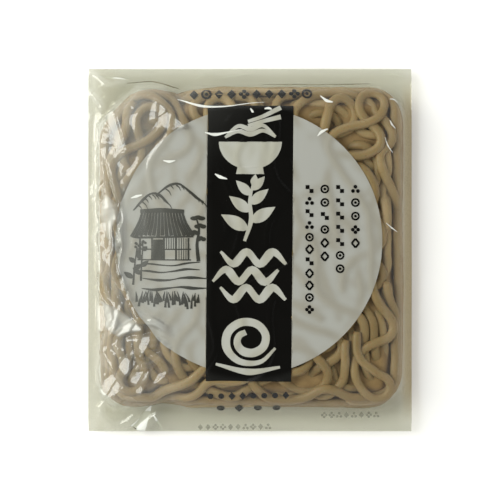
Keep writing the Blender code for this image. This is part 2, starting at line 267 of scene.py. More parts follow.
def clearFilmMaterial(name, tint):
    # Clear polyamide and polyethylene film, blown: glossy and faintly olive, milky where it stands clear of the wet
    # noodles, with a white painted sheen mixed into that milk where the film should catch the light
    made, tree = newMaterial(name)
    # Painted shade: the film's tint is mixed towards a warm, darker tint where the margins lie in shadow
    paintedShade = node(tree, "ShaderNodeAttribute", {"attribute_name": "paintedShade"})
    through = node(
        tree, "ShaderNodeMix",
        {"data_type": "RGBA", "input6": linear(tint), "input7": linear(clearFilm["paintedShadeTint"])}, input0=paintedShade.outputs["Fac"],
    )
    clear = node(tree, "ShaderNodeBsdfTransparent", Color=through.outputs[2])
    milkAndSheen = node(tree, "ShaderNodeBsdfDiffuse", {"Color": linear(clearFilm["hazeAndSheenColour"])})
    hazeAndSheen = node(tree, "ShaderNodeAttribute", {"attribute_name": "hazeAndSheen"})
    body = node(tree, "ShaderNodeMixShader", input0=hazeAndSheen.outputs["Fac"], input1=clear.outputs[0], input2=milkAndSheen.outputs[0])
    mirror = node(tree, "ShaderNodeBsdfGlossy", {"Roughness": clearFilm["roughness"]})
    facing = node(tree, "ShaderNodeLayerWeight", {"Blend": 0.5})
    steep = node(tree, "ShaderNodeMath", {"operation": "POWER", "input1": 5.0}, input0=facing.outputs["Facing"])
    shine = node(tree, "ShaderNodeMapRange", {"To_Min": clearFilm["shine"], "To_Max": 1.0}, Value=steep.outputs[0])
    surface = node(tree, "ShaderNodeMixShader", input0=shine.outputs[0], input1=body.outputs[0], input2=mirror.outputs[0])
    node(tree, "ShaderNodeOutputMaterial", Surface=surface.outputs[0])
    return made


def inkMaterial(name, colour, wetColour, alpha):
    # Gravure ink on the inside of the film: flat, and a shade darker where wet noodles press on it
    made, tree = newMaterial(name)
    wet = node(tree, "ShaderNodeAttribute", {"attribute_name": "wet"})
    shade = node(
        tree, "ShaderNodeMix", {"data_type": "RGBA", "input6": linear(colour), "input7": linear(wetColour)},
        input0=wet.outputs["Fac"],
    )
    shader = node(
        tree, "ShaderNodeBsdfPrincipled", {"Roughness": 0.7, "Specular_IOR_Level": 0.0, "Alpha": alpha},
        Base_Color=shade.outputs[2],
    )
    node(tree, "ShaderNodeOutputMaterial", Surface=shader.outputs[0])
    return made


def meshPiece(name, points, faces, material, replaced=(), values=None):
    # A shaded mesh that rides with the pack. Points are in millimetres; values are numbers kept at the points
    data = bpy.data.meshes.new(name)
    data.from_pydata((np.asarray(points) * mm).tolist(), [], faces)
    data.update()
    data.shade_smooth()
    data.materials.append(material)
    for attribute, numbers in (values or {}).items():
        data.attributes.new(attribute, "FLOAT", "POINT").data.foreach_set("value", np.asarray(numbers, np.float32).ravel())
    piece = bpy.data.objects.new(name, data)
    bpy.context.scene.collection.objects.link(piece)
    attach(piece, "root")
    if replaced:
        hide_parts(*replaced)
    return piece


# Noodles: laid one by one on what lies there already, half of the heap up against the front film and half on the back

noodles = {
    "width": 3.7, "thickness": 3.2,
    "nested": 1.6,              # height that a soft noodle adds where it lies across another
    "length": 300.0, "step": 2.0,
    "underFront": 72, "onBack": 12,     # how many are laid from each side at most
    "shortLength": 84.0, "shorts": 30,  # broken ones, laid where the front is still bare
    "tightestBend": 4.6,        # radius
    "sagRadius": 4.5,           # how tightly a noodle bends into a gap
    "edge": 1.7,                # its middle stays this far inside the block's outline
    "turnsWithin": 16.0,        # and now and then up to this much further in
    "edgeWave": 20.0,           # how fast that changes along a noodle
    "restless": 0.075,          # how fast its bend changes from step to step
    "flowPull": 0.05,           # how strongly it turns into the lie of the others, per mm
    "avoids": 0.35,             # and away from ground where others lie
    "underFilm": 0.4,           # gap between the highest noodle and the film
    "hidden": 0.3,              # how much a stretch under the print counts when a place is chosen
    "squeeze": 3.2,             # a noodle is left out where the heap would be this much too thick
    "fillsGaps": 5.0,           # how much a stretch over bare ground counts
    "tries": 90, "seed": 38,
    "sides": 10, "squareness": 2.6, "perPiece": 28,
}


def lie(x, y):
    # The way the noodles lie: upright at both sides, a rising fan at the bottom left, across at the bottom
    fan = smoothStep(-y, 28, 50) * smoothStep(-x, -30, 10)
    across = smoothStep(-y, 48, 60) * smoothStep(x, -20, 10)
    angle = np.full(np.shape(x), 90.0) - 50 * fan - 85 * across
    return np.radians(angle + 14 * np.sin(x / 17 + y / 31))


def wander(draw, crowd, length):
    # Trial noodles, all at once: lines that keep to bare ground and turn back at the block's outline
    step, most = noodles["step"], noodles["step"] / noodles["tightestBend"]
    corners = (block["left"], block["bottom"]), (block["right"], block["top"])
    place = draw.uniform(*corners, (noodles["tries"] * 3, 2))
    place = place[blockDepth(*place.T) > noodles["edge"]]
    place = place[sample(crowd, *place.T).argsort()[: noodles["tries"]]]
    heading = lie(*place.T) + draw.normal(0, 0.5, len(place)) + math.pi * draw.integers(0, 2, len(place))
    swing = noodles["turnsWithin"] * draw.uniform(0, 1, (len(place), 1)) ** 1.2
    phase = draw.uniform(0, math.pi, (len(place), 1))
    bend = np.zeros(len(place))
    extras = most * np.array((0, 0.3, -0.3, 0.65, -0.65, 1.2, -1.2, 2, -2))
    track = [place]
    for run in np.arange(0, length, step):
        edge = noodles["edge"] + swing * np.sin(phase + run / noodles["edgeWave"]) ** 2
        pull = noodles["flowPull"] * step * np.sin(2 * (lie(*place.T) - heading)) / 2
        bend = 0.88 * bend + draw.normal(0, noodles["restless"], len(place)) + pull
        turns = np.clip(bend[:, None] + extras, -most, most)
        ahead = heading[:, None] + turns
        short = np.zeros(turns.shape)
        for reach in (1.0, 2.2, 3.6):
            x = place[:, :1] + reach * step * np.cos(ahead)
            y = place[:, 1:] + reach * step * np.sin(ahead)
            short += 6 * np.maximum(0, edge - blockDepth(x, y)) + noodles["avoids"] * sample(crowd, x, y)
        pick = (short + np.abs(turns - np.clip(bend, -most, most)[:, None]) / most).argmin(1)
        bend = turns[np.arange(len(place)), pick]
        heading = heading + bend
        place = place + step * np.column_stack((np.cos(heading), np.sin(heading)))
        track.append(place)
    return np.array(track).transpose(1, 0, 2)


def discOffsets(radius):
    # Grid steps to the points under a noodle's width, with how far off its middle they are
    reach = int(radius / cell)
    steps = [(i, j) for i in range(-reach, reach + 1) for j in range(-reach, reach + 1)]
    return [(i, j, math.hypot(i, j) * cell) for i, j in steps if math.hypot(i, j) * cell < radius]


def restingLevel(top):
    # Where the middle of a noodle comes to lie on this surface
    half = noodles["width"] / 2
    reach = int(half / cell)
    padded = np.pad(top, reach, mode="edge")
    level = np.full(top.shape, -np.inf)
    for i, j, apart in discOffsets(half):
        bulge = noodles["nested"] / 2 * math.sqrt(1 - (apart / half) ** 2)
        level = np.maximum(level, padded[reach + i:reach + i + rows, reach + j:reach + j + columns] + bulge)
    return level


def settle(level):
    # A noodle can't follow every dip below it: it bridges them with its own bend
    step = noodles["step"]
    apart = (np.arange(len(level))[:, None] - np.arange(len(level))[None]) * step
    bridged = (level[None] - apart ** 2 / (2 * noodles["sagRadius"])).max(1)
    eased = np.pad(bridged, 1, mode="edge")
    return 0.25 * eased[:-2] + 0.5 * eased[1:-1] + 0.25 * eased[2:]


def liftOverItself(path, height):
    # Where a noodle crosses its own earlier stretch, it climbs over it
    apart = np.hypot(*(path[:, None] - path[None]).transpose(2, 0, 1))
    earlier = np.tri(len(path), k=-4, dtype=bool) & (apart < noodles["width"])
    over = height[None] + noodles["nested"] * np.sqrt(np.clip(1 - (apart / noodles["width"]) ** 2, 0, 1))
    return np.maximum(height, np.where(earlier, over, -np.inf).max(1))


def press(top, path, height, thickness=noodles["nested"], power=2.0):
    # Adds a noodle to the surface that the next ones lie on
    fine = np.linspace(0, len(path) - 1, len(path) * 4)
    index = np.arange(len(path))
    x, y, z = (np.interp(fine, index, values) for values in (*path.T, height))
    column, row = (x - bag["left"]) / cell, (y - bag["bottom"]) / cell
    half = noodles["width"] / 2
    for i, j, _ in discOffsets(half + cell):
        atRow, atColumn = np.round(row).astype(int) + i, np.round(column).astype(int) + j
        apart = np.hypot(atRow - row, atColumn - column) * cell
        bulge = thickness / 2 * np.clip(1 - (apart / half) ** power, 0, 1) ** (1 / power)
        hit = apart < half
        np.maximum.at(top, (atRow[hit], atColumn[hit]), (z + bulge)[hit])


def layOn(draw, surface, ceiling, count, length=noodles["length"]):
    # Lays noodles on a surface where it is still bare, until no more fit under the ceiling
    bare = restingLevel(surface)
    seen = np.where(np.hypot(gridX - disc["x"], gridY - disc["y"]) < disc["radius"], noodles["hidden"], 1.0)
    laid = []
    for _ in range(count):
        level = restingLevel(surface)
        paths = wander(draw, (level - bare) * seen, length)
        x, y = paths[..., 0], paths[..., 1]
        resting = sample(level, x, y)
        raised = resting - sample(bare, x, y)
        weight = sample(seen, x, y)
        piled = (raised * weight).mean(1) - noodles["fillsGaps"] * ((raised < 0.6) * weight).mean(1)
        over = np.maximum(resting - sample(ceiling, x, y), 0).mean(1)
        strays = (blockDepth(x, y) < noodles["edge"] * 0.6).sum(1)
        cost = piled + 4 * over + 1.5 * strays
        best = int(cost.argmin())
        if over[best] > noodles["squeeze"]:
            break
        height = settle(resting[best])
        for _ in range(2):
            height = settle(np.maximum(resting[best], liftOverItself(paths[best], height)))
        height = np.minimum(height, sample(ceiling, *paths[best].T) + noodles["squeeze"])
        press(surface, paths[best], height)
        laid.append((paths[best], height))
    return laid


def layNoodles():
    # Against the front film the heap is laid upside down, with heights turned over
    draw = np.random.default_rng(noodles["seed"])
    half = noodles["thickness"] / 2
    nestedIn = (noodles["thickness"] - noodles["nested"]) / 2
    front = frontHeight(gridX, gridY) - noodles["underFilm"] - nestedIn
    back = backHeight(gridX, gridY) + 0.2 + nestedIn
    hanging = -front
    upright = layOn(draw, hanging, -back - half, noodles["underFront"])
    upright += layOn(draw, hanging, -back - half, noodles["shorts"], noodles["shortLength"])
    laid = [(path, -height) for path, height in upright]
    laid += layOn(draw, back.copy(), -restingLevel(hanging), noodles["onBack"])
    top = back.copy()
    lowest = backHeight(gridX, gridY) + 1.08 * half + 0.15
    laid = [(path, np.maximum(height, sample(lowest, *path.T))) for path, height in laid]
    for path, height in laid:
        press(top, path, height, noodles["thickness"] * 1.06, noodles["squareness"])
    return laid, top


core = {"inset": 4.0, "below": 4.4, "lumps": 0.7, "seed": 8}


def noodleSurface(path, height, draw):
    # Rings round one noodle, with rounded cut ends, as points in millimetres
    middle = np.column_stack((path, height))
    along = np.gradient(middle, axis=0)
    along /= np.linalg.norm(along, axis=1)[:, None]
    side = np.cross(along, (0, 0, 1.0))
    side /= np.linalg.norm(side, axis=1)[:, None]
    up = np.cross(side, along)
    count = len(path)
    ways = np.linspace(0, 2 * math.pi, noodles["sides"], endpoint=False)
    power = 2 / noodles["squareness"]
    across = np.sign(np.cos(ways)) * np.abs(np.cos(ways)) ** power
    above = np.sign(np.sin(ways)) * np.abs(np.sin(ways)) ** power
    phase = draw.uniform(0, 2 * math.pi, 3)
    run = np.arange(count) * noodles["step"]
    swell = 1 + 0.05 * np.sin(run / 23 + phase[0]) + 0.03 * np.sin(run / 7 + phase[1])
    twist = 0.25 * np.sin(run / 31 + phase[2])
    swell[[0, -1]] *= 0.72
    wide = noodles["width"] / 2 * swell[:, None] * across
    high = noodles["thickness"] / 2 * swell[:, None] * above
    turnedX = wide * np.cos(twist)[:, None] - high * np.sin(twist)[:, None]
    turnedY = wide * np.sin(twist)[:, None] + high * np.cos(twist)[:, None]
    return middle[:, None] + side[:, None] * turnedX[..., None] + up[:, None] * turnedY[..., None]


def tubeFaces(count, sides, first):
    # Quads between rings, and the two cut ends, for a tube whose points begin at first
    ring = np.arange(count - 1)[:, None] * sides + first
    here, following = np.arange(sides)[None], (np.arange(sides)[None] + 1) % sides
    quads = np.stack((ring + here, ring + sides + here, ring + sides + following, ring + following), -1).reshape(-1, 4)
    last = first + (count - 1) * sides
    ends = [list(range(first, first + sides)), list(range(last + sides - 1, last - 1, -1))]
    return quads.tolist() + ends


def makeCore(material):
    # What shows deep in the gaps: the pressed middle of the heap, as one closed body
    inset = np.clip(gridDepth[::2, ::2], 0, None)
    x, y = gridX[::2, ::2], gridY[::2, ::2]
    full = smoothStep(inset, core["inset"], core["inset"] + 5)
    draw = np.random.default_rng(core["seed"])
    lumps = core["lumps"] * softNoise(draw, 3.5)[::2, ::2]
    middle = (frontHeight(x, y) + backHeight(x, y)) / 2
    top = middle + (frontHeight(x, y) - core["below"] + lumps - middle) * full
    bottom = middle - 0.3 + (backHeight(x, y) + core["below"] - lumps - middle) * full
    kept = inset > core["inset"]
    number = np.full(x.shape, -1)
    number[kept] = np.arange(kept.sum())
    corners = [number[:-1, :-1], number[:-1, 1:], number[1:, 1:], number[1:, :-1]]
    quads = np.stack(corners, -1)[np.all([corner >= 0 for corner in corners], axis=0)]
    count = int(kept.sum())
    edges = np.concatenate([quads[:, (k, (k + 1) % 4)] for k in range(4)])
    there = set(map(tuple, edges.tolist()))
    rim = [(a, b) for a, b in there if (b, a) not in there]
    walls = [(b, a, a + count, b + count) for a, b in rim]
    points = np.vstack((
        np.column_stack((x[kept], y[kept], top[kept])), np.column_stack((x[kept], y[kept], bottom[kept]))
    ))
    meshPiece("noodle_core", points, quads.tolist() + (quads[:, ::-1] + count).tolist() + walls, material)


def makeNoodles(laid, material):
    draw = np.random.default_rng(noodles["seed"] + 1)
    for number in range(0, len(laid), noodles["perPiece"]):
        points, faces, tones = [], [], []
        for path, height in laid[number:number + noodles["perPiece"]]:
            surface = noodleSurface(path, height, draw)
            faces += tubeFaces(len(path), noodles["sides"], sum(map(len, points)))
            points.append(surface.reshape(-1, 3))
            tones.append(np.full(len(points[-1]), draw.uniform(0.1, 0.9)))
        points = np.vstack(points)
        index = number // noodles["perPiece"]
        meshPiece(
            f"noodles_{index}", points, faces, material,
            ["bag"] if index == 0 else [], {"strand": np.concatenate(tones)},
        )


# Film: stretched over the heap, then gathered into folds and let down on it as a sheet that doesn't stretch

film = {
    "clearance": 0.45,      # between the noodles and the middle of the film, with room for the ink
    "dip": 0.22,            # how far it sinks between noodles under the print
    "dipOutside": 0.25,     # more of that beyond the print
    "dipLoose": 0.5,        # and on the loose left side
    # How far outside the block it first meets the back film, on the right, on the left and at the bottom
    "tent": 2.6, "tentLoose": 0.8, "tentBottom": 6.0,
    "tautRounds": 500,
    "drapeRounds": 420,
    "easing": 3,
    "pull": 0.012,          # how far it is drawn down in each of those
    "stiffness": 0.25,      # how strongly it keeps from creasing sharply
    "slackAcross": 0.008,   # spare film on the loose side, as a share of its width and of its length
    "slackAlong": 0.004,
    "buckle": 0.9,          # height and size of the waves that its folds grow from
    "buckleSize": 7.0,
    "gap": 0.1,             # between front and back film in the margins
    "seed": 4,
}
# Each fold gathers extra film, in mm, within a width along its route, which is in the photo's pixels
folds = [
    {"route": [(97, 142), (95, 157), (96, 168), (92, 187), (95, 201), (96, 215), (98, 226), (95, 238), (99, 255),
               (101, 271), (106, 292), (115, 304), (117, 322), (112, 334)],
     "extra": 0.9, "width": 3.5},
    {"route": [(109, 172), (113, 188), (118, 201), (122, 214), (120, 229), (120, 246), (119, 259), (122, 277),
               (128, 292), (135, 309), (143, 321)],
     "extra": 0.9, "width": 3.5},
    {"route": [(103, 216), (110, 208), (117, 198)], "extra": 0.5, "width": 2.5},
    {"route": [(177, 100), (190, 106), (205, 109), (225, 109), (245, 107)], "extra": 0.35, "width": 2.5},
    {"route": [(112, 92), (104, 103), (102, 118), (110, 128)], "extra": 0.25, "width": 2.0},
    {"route": [(117, 112), (120, 132), (127, 155)], "extra": 1.0, "width": 4.0},
    {"route": [(148, 320), (160, 326), (168, 331)], "extra": 1.1, "width": 3.2},
    {"route": [(133, 345), (150, 343), (172, 339)], "extra": 1.1, "width": 3.2},
    {"route": [(118, 352), (132, 352), (146, 362), (155, 356), (160, 344)], "extra": 1.1, "width": 3.2},
    {"route": [(100, 340), (106, 352), (103, 372), (105, 392), (100, 410)], "extra": 0.5, "width": 3.0},
    {"route": [(118, 352), (121, 372), (128, 384), (118, 396), (110, 402)], "extra": 1.1, "width": 3.2},
    {"route": [(165, 405), (158, 414), (148, 424), (138, 432)], "extra": 0.5, "width": 2.6},
    {"route": [(165, 405), (170, 416), (176, 430)], "extra": 0.4, "width": 2.6},
    {"route": [(156, 380), (163, 372), (170, 370)], "extra": 0.5, "width": 3.0},
    {"route": [(91, 96), (93, 140), (91, 190), (94, 240), (91, 300), (93, 350)], "extra": 0.3, "width": 2.0},
    {"route": [(92, 72), (104, 80), (122, 79), (140, 74)], "extra": 0.35, "width": 2.6},
    {"route": [(176, 70), (190, 78), (214, 80), (236, 74)], "extra": 0.2, "width": 2.4},
    {"route": [(300, 70), (330, 76), (372, 73), (402, 78)], "extra": 0.2, "width": 2.4},
    {"route": [(92, 405), (104, 418), (120, 422), (136, 416)], "extra": 0.3, "width": 2.4},
]
# Painted shade: fine dark lines along the block's top edge, where the film's fold there lies in shadow
paintedCreaseLines = [[(126, 82), (150, 81), (165, 84), (178, 88)], [(262, 84), (310, 83.5), (340, 83), (370, 82)]]
# Where it is crumpled every way: middle in pixels, reach in mm and spare film as a share of its length
crumples = [
    {"middle": (130, 355), "reach": (17.0, 22.0), "slack": 0.035},
    {"middle": (112, 140), "reach": (8.0, 14.0), "slack": 0.03},
    {"middle": (106, 240), "reach": (8.0, 36.0), "slack": 0.03},
]
# Flat facets that catch the window, each an outline in the photo's pixels
facets = [
    [(108, 117), (115, 114), (126, 149), (119, 152)],
    [(156.5, 103), (163, 107.5), (167.5, 112), (161, 121), (153.5, 121), (154.5, 111)],
    [(161, 121), (170.5, 115), (175, 118.5), (186, 128.5), (177, 130.5), (169.5, 132.5), (162, 126)],
    [(118, 334.5), (125, 328), (131.5, 322), (143, 326), (142, 329), (131.5, 329.5)],
    [(126, 338.5), (140, 336.5), (151.5, 334), (151, 339.5), (144, 352.5), (139.5, 340.5)],
    [(135, 343.5), (135, 354.5), (129.5, 352), (125, 355.5), (131, 348)],
    [(132.5, 355.5), (137.5, 358), (141.5, 362.5), (138.5, 366), (134, 366)],
    [(120, 358), (123, 354.5), (132, 358), (131.5, 371.5), (127, 371.5), (120.5, 366)],
    [(132.5, 372.5), (142, 370), (149.5, 368), (150, 371.5), (147.5, 376), (138.5, 382.5), (133, 378.5)],
    [(138.5, 390), (143, 384), (145, 386.5), (142, 392)],
    [(107.5, 377.5), (114.5, 372.5), (122, 383), (116.5, 393), (108, 394.5), (103, 389.5)],
    [(120, 303.5), (124, 304), (123, 309), (119.5, 307)],
    [(97.5, 306), (103, 306), (107, 321), (103, 330), (99.5, 328)],
    [(95.5, 193), (104, 183), (106.5, 184), (98, 195)],
]
facet = {
    "window": (-700, 220, 560), "eye": (0, 0, 564),     # its tilt mirrors the first in the second
    "pitch": 5.4,               # a wider facet is broken into pleats of this width
    "edge": (-0.7, 0.0),        # over which its rim meets the film round it
    "spread": 1.12,
    "crinkle": 0.05,            # height of its small dents
    # white painted into each facet as highlight
    "hazeAndSheen": 0.08,
}
# Long creases with one flank to the window: routes in pixels and widths in mm along them
flanks = [
    {"route": [(106, 164), (109, 172), (113, 188), (118, 201), (121.5, 211), (123, 221), (118, 229), (121, 246),
               (118.5, 259), (121.5, 277), (128, 292), (135, 309), (143, 321)],
     "widths": (0.4, 1.3, 1.6, 1.2, 1.8, 1.3, 1.0)},
    {"route": [(97, 128), (97, 142), (95, 157), (96, 168), (92, 187), (95, 201), (96, 215), (98, 226), (95, 238),
               (99, 255), (101, 271), (106, 292), (115, 304), (117, 322), (112, 334)],
     "widths": (0.6, 1.2, 0.8, 1.3, 1.0, 1.4, 0.8, 1.3, 0.6)},
]
# Sharp crests: route in pixels, height in mm, and how wide they are on the left and right of their route
crests = [
    {"route": [(119, 338), (120, 346), (122, 354)], "height": 0.6, "left": 1.2, "right": 1.4},
    {"route": [(115.5, 354), (115, 362), (114.5, 371)], "height": 0.6, "left": 1.2, "right": 1.4},
    {"route": [(91, 339), (96, 350), (97, 380), (93, 394)], "height": 0.6, "left": 1.3, "right": 1.6},
]
# Painted highlights: thin white strokes on the film for its glints and bright fold lines, route in pixels and widths in
# mm
paintedGlints = [
    {"route": [(177, 100), (190, 105.5), (205, 109), (225, 109), (250, 106), (264, 105)], "widths": (0.2, 0.9, 0.35, 0.1)},
    {"route": [(205, 134), (215, 136), (227, 134), (243, 131)], "widths": (0.3, 1.3, 0.5, 0.12)},
    {"route": [(195, 78), (203, 74), (213, 73)], "widths": (0.15, 0.5, 0.2)},
    {"route": [(220, 77), (236, 74.5), (254, 73)], "widths": (0.15, 0.45, 0.2)},
    {"route": [(100, 76), (112, 77), (128, 79)], "widths": (0.2, 0.6, 0.2)},
    {"route": [(383, 73), (396, 74), (408, 77)], "widths": (0.2, 0.6, 0.2)},
    {"route": [(319, 98), (325, 103), (331, 104.5)], "widths": (0.3, 1.3, 0.5)},
    {"route": [(326, 131), (320, 134), (316, 138)], "widths": (0.4, 1.2, 0.3)},
    {"route": [(387, 101), (391, 101), (396, 104)], "widths": (0.2, 0.7, 0.2)},
    {"route": [(387, 122), (389, 126), (393, 130)], "widths": (0.2, 0.8, 0.2)},
    {"route": [(382, 139), (385, 147), (390, 154)], "widths": (0.15, 0.5, 0.2)},
    {"route": [(383, 223), (389, 228), (395, 232)], "widths": (0.15, 0.6, 0.15)},
    {"route": [(151, 403), (148, 412), (143, 421), (136.5, 430.5)], "widths": (1.0, 2.3, 3.8, 6.2)},
    {"route": [(153.5, 413), (157, 420.5), (162, 429.5)], "widths": (0.3, 1.0, 0.6)},
    {"route": [(215, 175), (220, 178), (227, 180)], "widths": (0.4, 1.3, 0.4)},
    {"route": [(164, 162), (170, 163), (176, 162)], "widths": (0.3, 1.1, 0.3)},
    {"route": [(132, 199), (137, 197.5), (143, 196)], "widths": (0.3, 1.1, 0.4)},
    {"route": [(264, 111.5), (268, 111), (271, 112)], "widths": (0.5, 1.0, 0.5)},
    {"route": [(250, 111), (252, 114), (253, 115)], "widths": (0.4, 0.9, 0.4)},
]
# Where the film stands off the noodles as a milky pane, whitened as a painted sheen for the light it catches there:
# outlines in pixels
sheenVeils = [
    [(112, 198), (118, 205), (120, 215), (116, 223), (114, 230), (113, 240), (110, 236), (108, 226), (107, 216), (109, 205)],
    [(103, 300), (112, 304), (124, 312), (138, 322), (143, 330), (122, 336), (110, 326)],
]


def alongRoute(route, x, y):
    # From every point: the distance to a route, how far along it the nearest place is, the route's way there and
    # whether the point lies on its left
    lengths = np.hypot(*np.diff(route, axis=0).T)
    starts = np.concatenate(((0,), np.cumsum(lengths)))
    nearest = np.full(x.shape, np.inf)
    along, wayX, wayY, onLeft = np.zeros((4, *x.shape))
    for (ax, ay), (bx, by), length, start in zip(route[:-1], route[1:], lengths, starts):
        share = np.clip(((x - ax) * (bx - ax) + (y - ay) * (by - ay)) / length ** 2, 0, 1)
        apart = np.hypot(x - ax - share * (bx - ax), y - ay - share * (by - ay))
        closer = apart < nearest
        nearest[closer] = apart[closer]
        along[closer] = ((start + share * length) / starts[-1])[closer]
        wayX[closer] = (bx - ax) / length
        wayY[closer] = (by - ay) / length
        onLeft[closer] = ((bx - ax) * (y - ay) > (by - ay) * (x - ax))[closer]
    return nearest, along, wayX, wayY, onLeft


def smoothRoute(route, count=40):
    # A Catmull-Rom curve through the route's points
    route = np.asarray(route, float)
    ends = np.vstack((2 * route[0] - route[1], route, 2 * route[-1] - route[-2]))
    places = np.linspace(0, len(route) - 1.0001, count)
    i = places.astype(int)
    t = (places - i)[:, None]
    a, b, c, d = (ends[i + k] for k in range(4))
    return 0.5 * (2 * b + (c - a) * t + (2 * a - 5 * b + 4 * c - d) * t ** 2 + (3 * b - a - 3 * c + d) * t ** 3)


def stroke(route, widths, count=24):
    # A brush stroke as one closed outline: a smooth line through the route, its width eased between those given
    line = smoothRoute(route, count)
    half = np.interp(np.linspace(0, 1, count), np.linspace(0, 1, len(widths)), widths) / 2
    along = np.gradient(line, axis=0)
    normal = np.column_stack((-along[:, 1], along[:, 0])) / np.hypot(*along.T)[:, None]
    return np.vstack((line + normal * half[:, None], (line - normal * half[:, None])[::-1]))


def looseness(x, y):
    # 0 where the film clings to the noodles, on the right, and 1 where it stands clear of them, on the left
    bottomLeft = 0.6 * smoothStep(-x - 0.7 * y, 50, 95)
    pastPrint = smoothStep(np.hypot(x - disc["x"], y - disc["y"]), disc["radius"] - 3, disc["radius"] + 2)
    return np.clip(smoothStep(-x, 22, 60) + bottomLeft, 0, 1.3) * (0.2 + 0.8 * pastPrint)


def marginHeights(draw):
    # The sealed margins sink towards the bag's edge and wave a little
    toEnd = np.minimum(gridY - bag["bottom"], bag["top"] - gridY)
    toSide = np.minimum(gridX - bag["left"], bag["right"] - gridX)
    atEnd = smoothStep(-toEnd, -9.0, 0.0)
    atSide = smoothStep(-toSide, -8.0, 0.0)
    droop = np.maximum(bag["endDroop"] * atEnd, bag["sideDroop"] * atSide)
    return bag["sealLevel"] - droop + 0.35 * softNoise(draw, 16) + 0.16 * softNoise(draw, 6)


def tautFilm(ground, margin, inside):
    # A skin drawn tight over the heap from its margins
    front = np.where(inside, np.maximum(ground, margin), margin)
    for _ in range(film["tautRounds"]):
        mean = margin.copy()
        mean[1:-1, 1:-1] = (front[:-2, 1:-1] + front[2:, 1:-1] + front[1:-1, :-2] + front[1:-1, 2:]) / 4
        front = np.where(inside, np.maximum(ground, mean), margin)
    return front


def spareFilm(draw, x, y, loose):
    # How much longer the film is than the taut skin: across, along and aslant, and the height that its folds start from
    across, along = film["slackAcross"] * loose, film["slackAlong"] * loose
    for crumple in crumples:
        middleX, middleY = spot(*crumple["middle"])
        apart = np.hypot((x - middleX) / crumple["reach"][0], (y - middleY) / crumple["reach"][1])
        crumpled = crumple["slack"] * smoothStep(1 - apart, 0, 0.5)
        across, along = across + crumpled, along + crumpled
        loose = np.maximum(loose, 12 * crumpled)
    aslant = np.zeros(x.shape)
    start = np.zeros(x.shape)
    for fold in folds:
        nearest, share, wayX, wayY, _ = alongRoute(smoothRoute(spots(*fold["route"])), x, y)
        taper = np.sin(math.pi * np.clip(share, 0.03, 0.97)) ** 0.5
        crest = np.clip(1 - nearest / fold["width"], 0, 1)
        gathered = fold["extra"] / fold["width"] * taper * (crest > 0)
        across = across + gathered * wayY ** 2
        along = along + gathered * wayX ** 2
        aslant = aslant - gathered * wayX * wayY
        start = np.maximum(start, 2 * fold["extra"] * taper * crest)
    waves = film["buckle"] * softNoise(draw, film["buckleSize"])[::2, ::2] * np.clip(loose, 0, 1.2)
    return across, along, aslant, start + np.abs(waves) * 1.5


def threads(points, spare):
    # Pairs of points that keep their distance: neighbours, diagonals, and points two and three apart against creasing
    across, along, aslant = spare
    down, wide = across.shape
    found = []
    for down1, wide1, firm in ((0, 1, 1), (1, 0, 1), (1, 1, 0.6), (1, -1, 0.6), (0, 2, 0), (2, 0, 0), (0, 3, 0), (3, 0, 0)):
        reach = max(down1, wide1)
        wayX, wayY = np.array((wide1, down1)) / math.hypot(wide1, down1)
        for turn in (0, 1):
            if down1 == 0:
                line = np.arange(wide - reach)
                line = line[line // reach % 2 == turn]
                one, other = (slice(None), line), (slice(None), line + reach)
            else:
                line = np.arange(down - reach)
                line = line[line // reach % 2 == turn]
                left, right = max(0, -wide1), max(0, wide1)
                one = line, slice(left, wide - right)
                other = line + reach, slice(right, wide - left)
            surplus = wayX ** 2 * across + wayY ** 2 * along + 2 * wayX * wayY * aslant
            length = np.linalg.norm(points[other] - points[one], axis=-1) * (1 + (surplus[one] + surplus[other]) / 2)
            found.append((one, other, length, firm))
    return found


def letDown(points, ground, spare, start, pull):
    # The sheet buckles into folds where it has film to spare, and comes to rest on the ground below it
    held = points.copy()
    edge = np.ones(start.shape, bool)
    edge[1:-1, 1:-1] = False
    pairs = threads(points, spare)
    points[..., 2] += start
    for _ in range(film["drapeRounds"]):
        points[..., 2] -= pull
        for one, other, length, firm in pairs:
            run = points[other] - points[one]
            now = np.sqrt((run * run).sum(-1))
            if firm:
                share = firm * (now - length) / now
            else:
                share = film["stiffness"] * np.minimum((now - length) / now + 0.01, 0)
            run *= share[..., None] / 2
            points[one] += run
            points[other] -= run
        points[..., 2] = np.maximum(points[..., 2], sample(ground, points[..., 0], points[..., 1]))
        points[edge] = held[edge]
    return points


def finer(points):
    # Twice as many points each way, on a smooth curve through those given
    for _ in range(2):
        ends = np.concatenate((2 * points[:1] - points[1:2], points, 2 * points[-1:] - points[-2:-1]))
        between = (9 * (ends[1:-2] + ends[2:-1]) - ends[:-3] - ends[3:]) / 16
        double = np.empty((2 * len(points) - 1, *points.shape[1:]))
        double[::2], double[1::2] = points, between
        points = double.swapaxes(0, 1)
    return points


def eased(heights):
    # The film is too stiff to follow a step: each rise is spread over a millimetre or two
    for _ in range(film["easing"]):
        for axis in (0, 1):
            heights = (np.roll(heights, 1, axis) + 2 * heights + np.roll(heights, -1, axis)) / 4
    return heights


def insideOutline(outline, x, y):
    inside = np.zeros(x.shape, bool)
    for (ax, ay), (bx, by) in zip(outline, np.roll(outline, -1, axis=0)):
        if ay != by:
            crosses = (ay > y) != (by > y)
            inside ^= crosses & (x < (bx - ax) * (y - ay) / (by - ay) + ax)
    return inside


def depthInside(outline, x, y):
    # How far inside an outline a point lies, negative outside
    closed = np.vstack((outline, outline[:1]))
    return alongRoute(closed, x, y)[0] * np.where(insideOutline(outline, x, y), 1, -1)


def spread(outline, factor):
    middle = outline.mean(0)
    return middle + (outline - middle) * factor


